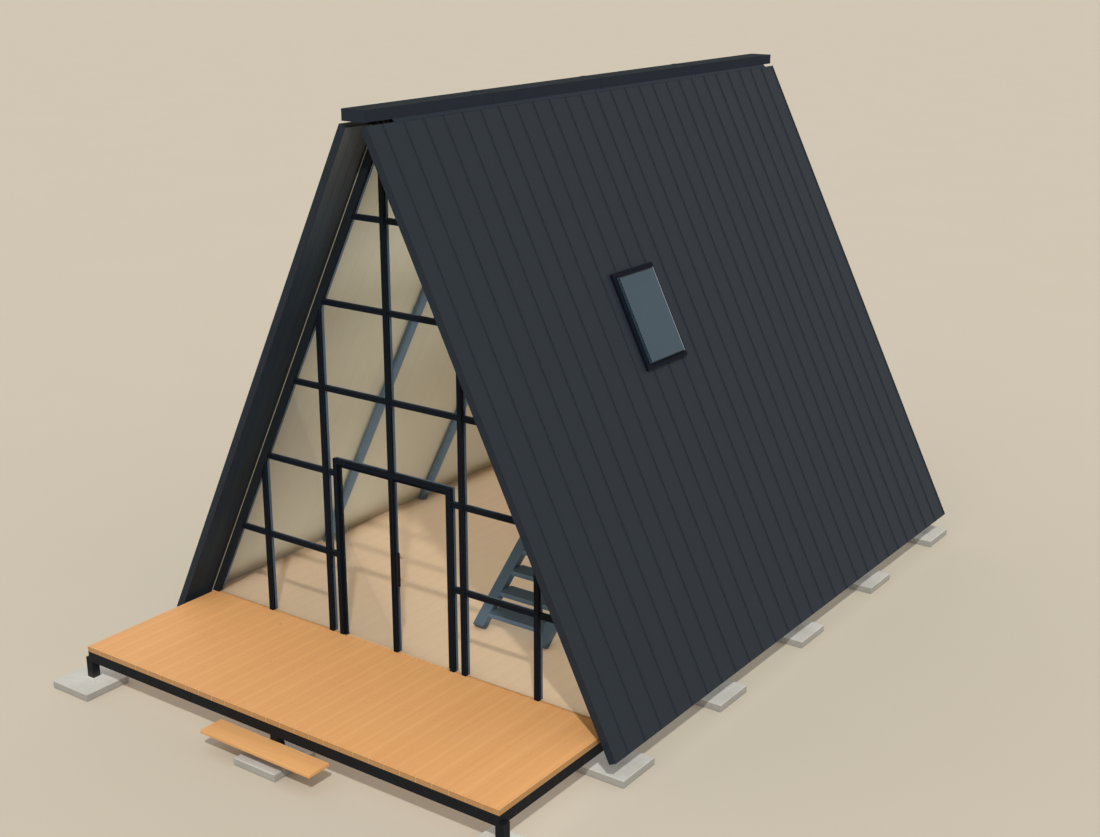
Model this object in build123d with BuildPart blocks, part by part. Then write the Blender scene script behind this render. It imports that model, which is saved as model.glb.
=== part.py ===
from build123d import *
from math import hypot
import os

os.makedirs("parts", exist_ok=True)

# The cabin stands on level ground at z = 0. X runs across the front, Y runs from the
# deck in front to the closed gable at the back, and the origin is the middle of the plan.
# All sizes are millimetres.

# Driving dimensions
BAY = 1000  # glazing grid of the front gable
FRAME_PITCH = 2000  # distance between two roof frames
HOUSE_BAYS = 4  # frame bays behind the glazing
HALF_SPAN = 3000  # from the middle to the foot of a roof frame
RIDGE_RISE = 6000  # from the floor to the point where the frame lines meet
DECK_DEPTH = 2000

# Ground works and floor frame
PAD_SIZE = 600
PAD_HEIGHT = 90
PAD_CHAMFER = 8
POST_SIZE = 100
POST_HEIGHT = 220  # between the pad and the underside of the beams
POST_LIP = 40  # height by which the post head stands up beside the side beams
BEAM_DEPTH = 125
BEAM_WIDTH = 80
CROSS_WIDTH = 60
CROSS_BAYS = 2  # cross beam spaces in each frame bay
BOARD_DEPTH = 60  # deck boards, floor and sole plates
BOARD_COUNT = 29
BOARD_GAP = 4
FLOOR_GAP = 4  # between the deck boards and the cabin floor
SOLE_INSET = 40  # inner edge of the sole plates, inside the frame foot

# Roof build-up, measured square to the slope and outward from the frame line
TUBE_RADIUS = 60
LINING = 35
PANEL = 70
SHEET = 20
SEAM = 10
SHELL_TOP = 50  # upper end of the shell, along the slope from the ridge point
EAVE_OVERHANG = 260  # past the foot of the frame line, along the slope
VERGE_FRONT = 420  # in front of the glazing
VERGE_REAR = 205  # behind the last frame line
SEAM_PITCH = 322
SEAM_WIDTH = 12
SEAM_START = 246  # from the front edge of the roof to the first seam

# Ridge
RIDGE_BEAM_HALF = 80
RIDGE_BEAM_DROP = 300  # underside of the ridge beam below the ridge point
CAP_HALF = 155
CAP_HEIGHT = 125

# Front glazing
BAR_WIDTH = 60
BAR_DEPTH = 80
TRANSOM_HEIGHT = 55
TRANSOM_DEPTH = 60
RAKE_IN = 65  # inner edge of the raking frame, inside the frame line
RAKE_OUT = 30  # its outer edge, outside the frame line
PANE = 24
PANE_FRONT = 27  # from the middle plane of the glazing to the outer face of a pane

# Door frame and leaves
DOOR_HALF = 863  # outer face of a jamb from the middle
DOOR_HEIGHT = 2183
JAMB_WIDTH = 58
HEADER_HEIGHT = 58
LEAF_GAP = 5
LEAF_FLOOR_GAP = 8
MEETING_GAP = 8
PIVOT_RADIUS = 15
TOP_RAIL = 30
RAIL_DEPTH = 28
LEAF_GLASS = 10
PIN_RADIUS = 6
PIN_LENGTH = 12
PIN_CLEARANCE = 0.3
PIN_PLATE = 4

# Pull bar of the right leaf
PULL_X = 110
PULL_BAR = 34
PULL_EDGE = 5
PULL_STANDOFF = 70
PULL_BOTTOM = 860
PULL_LENGTH = 410
PULL_INSET = 70
PULL_FOOT = 6
PULL_FOOT_RADIUS = 17
PULL_STEM = 8

# Roof light in the right slope
LIGHT_BACK = 2998  # from the glazing to its middle
LIGHT_TOP = 2215  # along the slope from the ridge point to its upper edge
LIGHT_LENGTH = 1196
LIGHT_WIDTH = 868
KERB_WIDTH = 94
KERB_PROUD = 41  # above the roof sheet
LIGHT_INSET = 63
LIGHT_PANE = 27

# Stair and loft
LOFT_HEIGHT = 2500
LOFT_BOARD = 60
LOFT_GAP = 2
NOTCH_GAP = 12  # between the loft floor and a frame tube
TIE_DEPTH = 180
TIE_WIDTH = 80
STAIR_LEFT = 316
STAIR_WIDTH = 1053
STAIR_GOING = 226
STAIR_LAP = 36  # by which the back line of the stringers runs in under the loft
STAIR_SEAT = 10
STRINGER_WIDTH = 146
STRINGER_DEPTH = 89
TREAD_COUNT = 12
TREAD_DEPTH = 226
TREAD_THICKNESS = 58

# Entrance step
STEP_HALF = 800
STEP_DEPTH = 300
STEP_DROP = 238  # below the deck
STEP_THICKNESS = 40
STEP_ARM_WIDTH = 12
STEP_ARM_DEPTH = 60
STEP_ARM_INSET = 20
STEP_BAR_HALF = 600
STEP_BAR_WIDTH = 80
STEP_BAR_THICKNESS = 10

# Closed back gable
REAR_LINING = 20
REAR_WALL = 100
REAR_SHEET = 15
REAR_SEAM = 12
REAR_BAND = 60  # flashing at the level of the loft

# Levels and lines that follow from the sizes above
BEAM_BOTTOM = PAD_HEIGHT + POST_HEIGHT
BEAM_TOP = BEAM_BOTTOM + BEAM_DEPTH
FLOOR_Z = BEAM_TOP + BOARD_DEPTH
RIDGE_Z = FLOOR_Z + RIDGE_RISE
LOFT_Z = FLOOR_Z + LOFT_HEIGHT
HOUSE_LENGTH = HOUSE_BAYS * FRAME_PITCH
FRONT_Y = (DECK_DEPTH - HOUSE_LENGTH) / 2  # middle plane of the front glazing
REAR_Y = FRONT_Y + HOUSE_LENGTH
DECK_Y = FRONT_Y - DECK_DEPTH
INSIDE_REAR = REAR_Y - REAR_WALL - REAR_LINING
FRAME_YS = [FRONT_Y + bay * FRAME_PITCH for bay in range(1, HOUSE_BAYS)]
LEG = hypot(HALF_SPAN, RIDGE_RISE)
LINING_OUT = TUBE_RADIUS + LINING
PANEL_OUT = LINING_OUT + PANEL
SHEET_OUT = PANEL_OUT + SHEET
KERB_OUT = SHEET_OUT + KERB_PROUD
REACH = 2 * LEG  # longer than any piece, for trimming


def on_slope(side, along, out):
    """Point in the XZ plane: along the slope from the ridge point, out square to it."""
    x = (along * HALF_SPAN + out * RIDGE_RISE) / LEG
    z = RIDGE_Z - (along * RIDGE_RISE - out * HALF_SPAN) / LEG
    return (side * x, z)


def half_width(z, out):
    """Distance from the middle to the sloping line that lies out from the frame line."""
    return ((RIDGE_Z - z) * HALF_SPAN + out * LEG) / RIDGE_RISE


def height_at(x, out):
    """Height of that same line above the point x of the front."""
    return RIDGE_Z - (abs(x) * RIDGE_RISE - out * LEG) / HALF_SPAN


def slope_plane(side, along, out):
    """Plane on the slope with its x along Y, its y up the slope and its normal outward."""
    x, z = on_slope(side, along, out)
    return Plane(origin=(x, 0, z), x_dir=(0, side, 0), z_dir=(side * RIDGE_RISE, 0, HALF_SPAN))


def upright_plane(y_rear):
    """Plane XZ moved to y_rear, so that an extrusion runs from there to the front."""
    return Plane.XZ.offset(-y_rear)


def save(piece, label):
    piece.part.label = label
    export_step(piece.part, "parts/" + label + ".step")


def block(x_range, y_range, z_range):
    """One straight piece between pairs of coordinates."""
    ranges = (x_range, y_range, z_range)
    with BuildPart() as piece:
        with Locations(tuple((low + high) / 2 for low, high in ranges)):
            Box(*[high - low for low, high in ranges])
    return piece


def upright_layer(outline, y_range):
    """A flat piece with the given XZ outline between two places along the house."""
    with BuildPart() as piece:
        with BuildSketch(upright_plane(y_range[1])):
            with BuildLine():
                Polyline(*outline, close=True)
            make_face()
        extrude(amount=y_range[1] - y_range[0])
    return piece


def sloped_layer(side, out_range, along_range, y_range):
    """A flat layer of the roof with square-cut ends."""
    low, high = out_range
    top, foot = along_range
    corners = [(top, low), (top, high), (foot, high), (foot, low)]
    return upright_layer([on_slope(side, along, out) for along, out in corners], y_range)


# Concrete pads with a chamfered top edge, under three lines of posts
line_xs = [-HALF_SPAN, 0, HALF_SPAN]
row_ys = [DECK_Y, FRONT_Y] + FRAME_YS + [REAR_Y]
with BuildPart() as pads:
    with Locations([(x, y, PAD_HEIGHT / 2) for x in line_xs for y in row_ys]):
        Box(PAD_SIZE, PAD_SIZE, PAD_HEIGHT)
    chamfer(pads.edges().group_by(Axis.Z)[-1], PAD_CHAMFER)
save(pads, "footing_pads")

# The front posts stand flush with the front beam, and the others on the frame lines.
# Their heads are notched round the beams that they carry.
post_height = POST_HEIGHT + POST_LIP
post_z = PAD_HEIGHT + post_height / 2
post_ys = [DECK_Y + POST_SIZE / 2] + row_ys[1:]
beam_y = (DECK_Y, REAR_Y + CROSS_WIDTH / 2)
beam_z = (BEAM_BOTTOM, BEAM_TOP)
beam_mid_z = (BEAM_BOTTOM + BEAM_TOP) / 2
with BuildPart() as posts:
    with Locations([(x, y, post_z) for x in line_xs for y in post_ys]):
        Box(POST_SIZE, POST_SIZE, post_height)
    add(block((-HALF_SPAN, HALF_SPAN), beam_y, beam_z).part, mode=Mode.SUBTRACT)
save(posts, "foot_posts")

# Long beams of the floor frame
save(block((-HALF_SPAN, BEAM_WIDTH - HALF_SPAN), beam_y, beam_z), "left_side_beam")
save(block((HALF_SPAN - BEAM_WIDTH, HALF_SPAN), beam_y, beam_z), "right_side_beam")
save(block((-BEAM_WIDTH / 2, BEAM_WIDTH / 2), beam_y, beam_z), "centre_beam")

# Cross beams fill the bays between the long beams
cross_length = HALF_SPAN - 1.5 * BEAM_WIDTH
cross_x = (HALF_SPAN - BEAM_WIDTH / 2) / 2
cross_pitch = FRAME_PITCH / CROSS_BAYS
cross_ys = [DECK_Y + CROSS_WIDTH / 2, (DECK_Y + FRONT_Y) / 2]
cross_ys += [FRONT_Y + row * cross_pitch for row in range(HOUSE_BAYS * CROSS_BAYS + 1)]
with BuildPart() as cross_beams:
    with Locations([(side * cross_x, y, beam_mid_z) for side in (-1, 1) for y in cross_ys]):
        Box(cross_length, CROSS_WIDTH, BEAM_DEPTH)
save(cross_beams, "cross_beams")

# Deck boards run from the front edge back to the glazing
board_pitch = (2 * HALF_SPAN + BOARD_GAP) / BOARD_COUNT
board_length = DECK_DEPTH - FLOOR_GAP
with BuildPart() as deck:
    with Locations((0, DECK_Y + board_length / 2, FLOOR_Z - BOARD_DEPTH / 2)):
        with GridLocations(board_pitch, 1, BOARD_COUNT, 1):
            Box(board_pitch - BOARD_GAP, board_length, BOARD_DEPTH)
save(deck, "deck_boards")

# Cabin floor between the two sole plates, up to the lining of the back wall
sole_inner = HALF_SPAN - SOLE_INSET
room_y = (FRONT_Y, INSIDE_REAR)
save(block((-sole_inner, sole_inner), room_y, (BEAM_TOP, FLOOR_Z)), "cabin_floor")

# Sole plates under the frame tubes, their outer edge cut to the slope of the lining
with BuildPart() as soles:
    for side in (-1, 1):
        outline = [
            (side * sole_inner, BEAM_TOP),
            (side * sole_inner, FLOOR_Z),
            (side * half_width(FLOOR_Z, TUBE_RADIUS), FLOOR_Z),
            (side * half_width(BEAM_TOP, TUBE_RADIUS), BEAM_TOP),
        ]
        add(upright_layer(outline, room_y).part)
save(soles, "sole_plates")

# Entrance step. Two flat arms are bolted to the sides of the middle front post, and a
# flat bar across them carries the plank.
step_top = FLOOR_Z - STEP_DROP
step_low = step_top - STEP_THICKNESS
arm_low = step_low - STEP_ARM_DEPTH
arm_front = DECK_Y - STEP_DEPTH + STEP_ARM_INSET
arm_rear = DECK_Y + POST_SIZE
arm_x = (POST_SIZE + STEP_ARM_WIDTH) / 2
step_mid = DECK_Y - STEP_DEPTH / 2
step_y = (DECK_Y - STEP_DEPTH, DECK_Y)
save(block((-STEP_HALF, STEP_HALF), step_y, (step_low, step_top)), "step_plank")

with BuildPart() as step_arms:
    for side in (-1, 1):
        with BuildSketch(Plane.YZ.offset(side * arm_x - STEP_ARM_WIDTH / 2)):
            with BuildLine():
                Polyline(
                    (arm_front, step_low),
                    (arm_rear, step_low),
                    (arm_rear, arm_low),
                    (step_mid, arm_low),
                    close=True,
                )
            make_face()
        extrude(amount=STEP_ARM_WIDTH)
    with Locations((0, step_mid, step_low - STEP_BAR_THICKNESS / 2)):
        Box(2 * STEP_BAR_HALF, STEP_BAR_WIDTH, STEP_BAR_THICKNESS)
save(step_arms, "step_brackets")

# Round tube frames, one leg on each side, cut level at the floor and plumb at the ridge beam
with BuildPart() as a_frames:
    for side in (-1, 1):
        foot_x, foot_z = on_slope(side, REACH, 0)
        for y in FRAME_YS:
            leg_plane = Plane(
                origin=(foot_x, y, foot_z),
                x_dir=(0, 1, 0),
                z_dir=(-side * HALF_SPAN, 0, RIDGE_RISE),
            )
            with BuildSketch(leg_plane):
                Circle(TUBE_RADIUS)
            extrude(amount=REACH)
    with Locations((0, 0, FLOOR_Z - REACH)):
        Box(4 * REACH, 4 * REACH, 2 * REACH, mode=Mode.SUBTRACT)
    with Locations((0, 0, RIDGE_Z)):
        Box(2 * RIDGE_BEAM_HALF, 4 * REACH, REACH, mode=Mode.SUBTRACT)
save(a_frames, "a_frame_tubes")

# Ridge beam between the two slopes, which also carries the cap
bar_rear = FRONT_Y + BAR_DEPTH / 2
ridge_low = RIDGE_Z - RIDGE_BEAM_DROP
cap_low = height_at(0, RAKE_OUT)
ridge_x = (-RIDGE_BEAM_HALF, RIDGE_BEAM_HALF)
save(block(ridge_x, (bar_rear, REAR_Y), (ridge_low, cap_low)), "ridge_beam")
shell_y = (FRONT_Y - VERGE_FRONT, REAR_Y + VERGE_REAR)
save(block((-CAP_HALF, CAP_HALF), shell_y, (cap_low, cap_low + CAP_HEIGHT)), "ridge_cap")

# Opening of the roof light through all layers of the right slope
light_mid = LIGHT_TOP + LIGHT_LENGTH / 2
light_y = FRONT_Y + LIGHT_BACK
with BuildPart() as light_hole:
    with BuildSketch(slope_plane(1, light_mid, 0)):
        with Locations((light_y, 0)):
            Rectangle(LIGHT_WIDTH, LIGHT_LENGTH)
    extrude(amount=2 * KERB_OUT)

# Roof shell. Each slope is an inner lining, a panel and a standing-seam metal skin. The
# lining butts against the ridge beam and runs down to the underside of the floor.
shell_run = (SHELL_TOP, LEG + EAVE_OVERHANG)
lining_top = (RIDGE_BEAM_HALF * LEG - TUBE_RADIUS * RIDGE_RISE) / HALF_SPAN
lining_run = (lining_top, LEG + BOARD_DEPTH + LINING_OUT)
seam_count = int((shell_y[1] - shell_y[0] - SEAM_START) / SEAM_PITCH) + 1
seam_ys = [shell_y[0] + SEAM_START + seam * SEAM_PITCH for seam in range(seam_count)]
seam_mid = -(shell_run[1] - shell_run[0]) / 2
for side, name in ((-1, "left"), (1, "right")):
    with BuildPart() as lining:
        add(sloped_layer(side, (TUBE_RADIUS, LINING_OUT), lining_run, room_y).part)
        with Locations((0, 0, BEAM_TOP - REACH)):
            Box(4 * REACH, 4 * REACH, 2 * REACH, mode=Mode.SUBTRACT)
        if side == 1:
            add(light_hole.part, mode=Mode.SUBTRACT)
    save(lining, name + "_lining")

    with BuildPart() as panel:
        add(sloped_layer(side, (LINING_OUT, PANEL_OUT), shell_run, shell_y).part)
        if side == 1:
            add(light_hole.part, mode=Mode.SUBTRACT)
    save(panel, name + "_roof_panel")

    with BuildPart() as skin:
        add(sloped_layer(side, (PANEL_OUT, SHEET_OUT), shell_run, shell_y).part)
        with BuildSketch(slope_plane(side, SHELL_TOP, SHEET_OUT)):
            with Locations([(side * y, seam_mid) for y in seam_ys]):
                Rectangle(SEAM_WIDTH, 2 * abs(seam_mid))
        extrude(amount=SEAM)
        if side == 1:
            add(light_hole.part, mode=Mode.SUBTRACT)
    save(skin, name + "_roof_cladding")

# Timber trims that fill the joint between the raking frames and the lining
with BuildPart() as trims:
    for side in (-1, 1):
        trim_run = (lining_top, LEG)
        trim = sloped_layer(side, (RAKE_OUT, TUBE_RADIUS), trim_run, (FRONT_Y, bar_rear))
        add(trim.part)
    with Locations((0, 0, FLOOR_Z - REACH)):
        Box(4 * REACH, 4 * REACH, 2 * REACH, mode=Mode.SUBTRACT)
save(trims, "gable_trims")

# Roof light: a deep kerb through the whole roof with a glass unit lying on it
with BuildPart() as kerb:
    with BuildSketch(slope_plane(1, light_mid, TUBE_RADIUS)):
        with Locations((light_y, 0)):
            Rectangle(LIGHT_WIDTH, LIGHT_LENGTH)
            Rectangle(
                LIGHT_WIDTH - 2 * KERB_WIDTH,
                LIGHT_LENGTH - 2 * KERB_WIDTH,
                mode=Mode.SUBTRACT,
            )
    extrude(amount=KERB_OUT - TUBE_RADIUS)
save(kerb, "skylight_frame")

with BuildPart() as light_pane:
    with BuildSketch(slope_plane(1, light_mid, KERB_OUT)):
        with Locations((light_y, 0)):
            Rectangle(LIGHT_WIDTH - 2 * LIGHT_INSET, LIGHT_LENGTH - 2 * LIGHT_INSET)
    extrude(amount=LIGHT_PANE)
save(light_pane, "skylight_glass")

# Raking frames of the front gable, mitred where they meet at the top
bar_y = (FRONT_Y - BAR_DEPTH / 2, bar_rear)
for side, name in ((-1, "left"), (1, "right")):
    outline = [
        (side * half_width(FLOOR_Z, -RAKE_IN), FLOOR_Z),
        (side * half_width(FLOOR_Z, RAKE_OUT), FLOOR_Z),
        (0, height_at(0, RAKE_OUT)),
        (0, height_at(0, -RAKE_IN)),
    ]
    save(upright_layer(outline, bar_y), name + "_raking_frame")


def gable_strip(z_low, z_high):
    """Corners of the glazed gable between two heights, inside the raking frames."""
    low = half_width(z_low, -RAKE_IN)
    high = half_width(z_high, -RAKE_IN)
    if high < BAR_WIDTH / 2:
        return [(-low, z_low), (low, z_low), (0, height_at(0, -RAKE_IN))]
    return [(-low, z_low), (low, z_low), (high, z_high), (-high, z_high)]


# Upright bars: those beside the door from the floor, and the middle one above the door
side_bars = range(1, round(HALF_SPAN / BAY))
mullion_xs = [side * bar * BAY for side in (-1, 1) for bar in side_bars]
header_top = FLOOR_Z + DOOR_HEIGHT
with BuildPart() as mullions:
    with BuildSketch(upright_plane(bar_rear)):
        for x in mullion_xs + [0]:
            base = header_top if x == 0 else FLOOR_Z
            left = x - BAR_WIDTH / 2
            right = x + BAR_WIDTH / 2
            top = [(right, height_at(right, -RAKE_IN)), (left, height_at(left, -RAKE_IN))]
            if x == 0:
                top.insert(1, (0, height_at(0, -RAKE_IN)))
            with BuildLine():
                Polyline((left, base), (right, base), *top, close=True)
            make_face()
    extrude(amount=BAR_DEPTH)
save(mullions, "gable_mullions")


def cut_bars():
    """Take the upright bars and the doorway out of the running sketch."""
    with Locations([(x, FLOOR_Z) for x in mullion_xs]):
        Rectangle(BAR_WIDTH, 2 * REACH, mode=Mode.SUBTRACT)
    with Locations((0, header_top + REACH)):
        Rectangle(BAR_WIDTH, 2 * REACH, mode=Mode.SUBTRACT)
    with Locations((0, header_top - REACH)):
        Rectangle(2 * DOOR_HALF, 2 * REACH, mode=Mode.SUBTRACT)


# Level bars between the uprights, one row at each step of the grid
row_zs = [FLOOR_Z + row * BAY for row in range(1, round(RIDGE_RISE / BAY))]
with BuildPart() as transoms:
    with BuildSketch(upright_plane(FRONT_Y + TRANSOM_DEPTH / 2)):
        for z in row_zs:
            with BuildLine():
                Polyline(*gable_strip(z - TRANSOM_HEIGHT / 2, z + TRANSOM_HEIGHT / 2), close=True)
            make_face()
        cut_bars()
    extrude(amount=TRANSOM_DEPTH)
save(transoms, "gable_transoms")

# Fixed panes: the two rows beside the door, and all rows above them
pane_lows = [FLOOR_Z] + [z + TRANSOM_HEIGHT / 2 for z in row_zs]
pane_highs = [z - TRANSOM_HEIGHT / 2 for z in row_zs] + [height_at(0, -RAKE_IN)]
pane_rows = list(zip(pane_lows, pane_highs))
for rows, name in ((pane_rows[:2], "lower_gable_glass"), (pane_rows[2:], "upper_gable_glass")):
    with BuildPart() as panes:
        with BuildSketch(upright_plane(FRONT_Y - PANE_FRONT + PANE)):
            for low, high in rows:
                with BuildLine():
                    Polyline(*gable_strip(low, high), close=True)
                make_face()
            cut_bars()
        extrude(amount=PANE)
    save(panes, name)

# Door frame: two jambs from the floor and a header between them
jamb_inner = DOOR_HALF - JAMB_WIDTH
jamb_x = DOOR_HALF - JAMB_WIDTH / 2
jamb_z = FLOOR_Z + DOOR_HEIGHT / 2
header_low = header_top - HEADER_HEIGHT
with BuildPart() as jambs:
    with Locations((-jamb_x, FRONT_Y, jamb_z), (jamb_x, FRONT_Y, jamb_z)):
        Box(JAMB_WIDTH, BAR_DEPTH, DOOR_HEIGHT)
save(jambs, "door_jambs")
save(block((-jamb_inner, jamb_inner), bar_y, (header_low, header_top)), "door_header")

# Pivots: a floor plate with a pin and a pin under the header for each leaf
pivot_x = jamb_inner - LEAF_GAP - PIVOT_RADIUS
low_pin = LEAF_FLOOR_GAP + PIN_LENGTH - PIN_PLATE
high_pin = LEAF_GAP + PIN_LENGTH
with BuildPart() as pivots:
    for x in (-pivot_x, pivot_x):
        with Locations((x, FRONT_Y, FLOOR_Z + PIN_PLATE / 2)):
            Box(2 * PIVOT_RADIUS, BAR_DEPTH, PIN_PLATE)
        with Locations((x, FRONT_Y, FLOOR_Z + PIN_PLATE + low_pin / 2)):
            Cylinder(PIN_RADIUS, low_pin)
        with Locations((x, FRONT_Y, header_low - high_pin / 2)):
            Cylinder(PIN_RADIUS, high_pin)
save(pivots, "door_pivots")

# Door leaves: a round pivot stile, a top rail and a flat meeting stile round one glass
leaf_low = FLOOR_Z + LEAF_FLOOR_GAP
leaf_high = header_low - LEAF_GAP
leaf_height = leaf_high - leaf_low
leaf_z = (leaf_low + leaf_high) / 2
stile_in = MEETING_GAP / 2
stile_out = BAR_WIDTH / 2
bore_depth = PIN_LENGTH + PIN_CLEARANCE
glass_y = (FRONT_Y - LEAF_GLASS / 2, FRONT_Y + LEAF_GLASS / 2)
for side, name in ((-1, "left"), (1, "right")):
    with BuildPart() as leaf:
        with Locations((side * pivot_x, FRONT_Y, leaf_z)):
            Cylinder(PIVOT_RADIUS, leaf_height)
        with Locations((side * (stile_in + stile_out) / 2, FRONT_Y, leaf_z)):
            Box(stile_out - stile_in, BAR_DEPTH, leaf_height)
        with Locations((side * (pivot_x + stile_out) / 2, FRONT_Y, leaf_high - TOP_RAIL / 2)):
            Box(pivot_x - stile_out, RAIL_DEPTH, TOP_RAIL)
        for z in (leaf_low + bore_depth / 2, leaf_high - bore_depth / 2):
            with Locations((side * pivot_x, FRONT_Y, z)):
                Cylinder(PIN_RADIUS + PIN_CLEARANCE, bore_depth, mode=Mode.SUBTRACT)
    save(leaf, name + "_door_frame")
    glass_x = sorted((side * stile_out, side * (pivot_x - PIVOT_RADIUS)))
    save(block(glass_x, glass_y, (leaf_low, leaf_high - TOP_RAIL)), name + "_door_glass")

# Square pull bar with two round stand-offs fixed to the glass of the right leaf
pull_low = FLOOR_Z + PULL_BOTTOM
pull_high = pull_low + PULL_LENGTH
pull_y = FRONT_Y - PULL_STANDOFF
with BuildPart() as pull:
    with Locations((PULL_X, pull_y, (pull_low + pull_high) / 2)):
        Box(PULL_BAR, PULL_BAR, PULL_LENGTH)
    fillet(pull.edges(), PULL_EDGE)
    for z in (pull_low + PULL_INSET, pull_high - PULL_INSET):
        stem_plane = Plane(origin=(PULL_X, glass_y[0], z), x_dir=(1, 0, 0), z_dir=(0, -1, 0))
        with BuildSketch(stem_plane):
            Circle(PULL_STEM)
        extrude(amount=glass_y[0] - pull_y)
        with BuildSketch(stem_plane):
            Circle(PULL_FOOT_RADIUS)
        extrude(amount=PULL_FOOT)
save(pull, "door_handle")

# Closed back gable, fitted between the linings and round the ridge beam: a timber
# lining, a wall panel and a metal skin with upright seams and one flashing band
wall_foot = half_width(BEAM_TOP, TUBE_RADIUS)
wall_peak = height_at(RIDGE_BEAM_HALF, TUBE_RADIUS)
gable_outline = [
    (-wall_foot, BEAM_TOP),
    (wall_foot, BEAM_TOP),
    (RIDGE_BEAM_HALF, wall_peak),
    (RIDGE_BEAM_HALF, ridge_low),
    (-RIDGE_BEAM_HALF, ridge_low),
    (-RIDGE_BEAM_HALF, wall_peak),
]
wall_y = REAR_Y - REAR_WALL
sheet_rear = REAR_Y + REAR_SHEET
save(upright_layer(gable_outline, (INSIDE_REAR, wall_y)), "rear_lining")
save(upright_layer(gable_outline, (wall_y, REAR_Y)), "rear_wall")
rear_seams = int((wall_foot - SEAM_WIDTH) / SEAM_PITCH)
band_half = half_width(LOFT_Z, TUBE_RADIUS)
with BuildPart() as rear_sheet:
    add(upright_layer(gable_outline, (REAR_Y, sheet_rear)).part)
    with BuildSketch(upright_plane(sheet_rear + REAR_SEAM)):
        for seam in range(-rear_seams, rear_seams + 1):
            x = seam * SEAM_PITCH
            top = min(height_at(abs(x) + SEAM_WIDTH, TUBE_RADIUS), ridge_low)
            with Locations((x, (BEAM_TOP + top) / 2)):
                Rectangle(SEAM_WIDTH, top - BEAM_TOP)
        with Locations((0, LOFT_Z - REAR_BAND / 2)):
            Rectangle(2 * band_half, REAR_BAND)
    extrude(amount=REAR_SEAM)
save(rear_sheet, "rear_cladding")

# Loft ties between the legs of the frames behind the stair, coped to the tubes, and a
# ledger of the same section on the back wall
tie_top = LOFT_Z - LOFT_BOARD
tie_low = tie_top - TIE_DEPTH
tie_ends = [(z, half_width(z, -TUBE_RADIUS / 2)) for z in (tie_low, tie_top)]
tie_outline = [(x, z) for z, x in tie_ends] + [(-x, z) for z, x in reversed(tie_ends)]
with BuildPart() as ties:
    for y in FRAME_YS[1:] + [INSIDE_REAR - TIE_WIDTH / 2]:
        add(upright_layer(tie_outline, (y - TIE_WIDTH / 2, y + TIE_WIDTH / 2)).part)
    add(a_frames.part, mode=Mode.SUBTRACT)
save(ties, "loft_beams")

# Loft floor out to the linings, notched round the tubes
loft_front = FRAME_YS[1] - TIE_WIDTH / 2
loft_ends = [(z, half_width(z, TUBE_RADIUS) - LOFT_GAP) for z in (tie_top, LOFT_Z)]
loft_outline = [(x, z) for z, x in loft_ends] + [(-x, z) for z, x in reversed(loft_ends)]
notch_in = half_width(LOFT_Z, -TUBE_RADIUS) - NOTCH_GAP
with BuildPart() as loft:
    add(upright_layer(loft_outline, (loft_front, INSIDE_REAR)).part)
    for y in FRAME_YS[1:]:
        for side in (-1, 1):
            with Locations((side * (notch_in + HALF_SPAN / 2), y, LOFT_Z)):
                Box(HALF_SPAN, 2 * (TUBE_RADIUS + NOTCH_GAP), TIE_DEPTH, mode=Mode.SUBTRACT)
save(loft, "loft_floor")

# Stair: two stringers at one pitch, with level treads centred on them
rises = TREAD_COUNT + 1
pitch_length = hypot(rises * STAIR_GOING, LOFT_HEIGHT)
steep = LOFT_HEIGHT / pitch_length
level = rises * STAIR_GOING / pitch_length
stair_foot = loft_front + STAIR_LAP - rises * STAIR_GOING
seat_y = stair_foot - STAIR_SEAT * level
seat_z = FLOOR_Z - STAIR_SEAT * steep
back_top = FLOOR_Z + (loft_front - stair_foot) * steep / level
with BuildPart() as stringers:
    for x in (STAIR_LEFT, STAIR_LEFT + STAIR_WIDTH - STRINGER_WIDTH):
        with BuildSketch(Plane.YZ.offset(x)):
            with BuildLine():
                Polyline(
                    (seat_y, seat_z),
                    (seat_y - STRINGER_DEPTH * steep, seat_z + STRINGER_DEPTH * level),
                    (loft_front, back_top + STRINGER_DEPTH / level),
                    (loft_front, back_top),
                    close=True,
                )
            make_face()
            with Locations((0, FLOOR_Z - REACH), (0, LOFT_Z + REACH)):
                Rectangle(2 * REACH, 2 * REACH, mode=Mode.SUBTRACT)
        extrude(amount=STRINGER_WIDTH)
save(stringers, "stair_stringers")

rise = LOFT_HEIGHT / rises
run_depth = STRINGER_DEPTH / steep  # of a stringer, measured level
tread_x = STAIR_LEFT + STAIR_WIDTH / 2
tread_spots = []
for step in range(1, rises):
    tread_y = stair_foot + step * STAIR_GOING - run_depth / 2
    tread_z = FLOOR_Z + step * rise - TREAD_THICKNESS / 2
    tread_spots.append((tread_x, tread_y, tread_z))
with BuildPart() as treads:
    with Locations(tread_spots):
        Box(STAIR_WIDTH - 2 * STRINGER_WIDTH, TREAD_DEPTH, TREAD_THICKNESS)
save(treads, "stair_treads")
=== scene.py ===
import math

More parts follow.
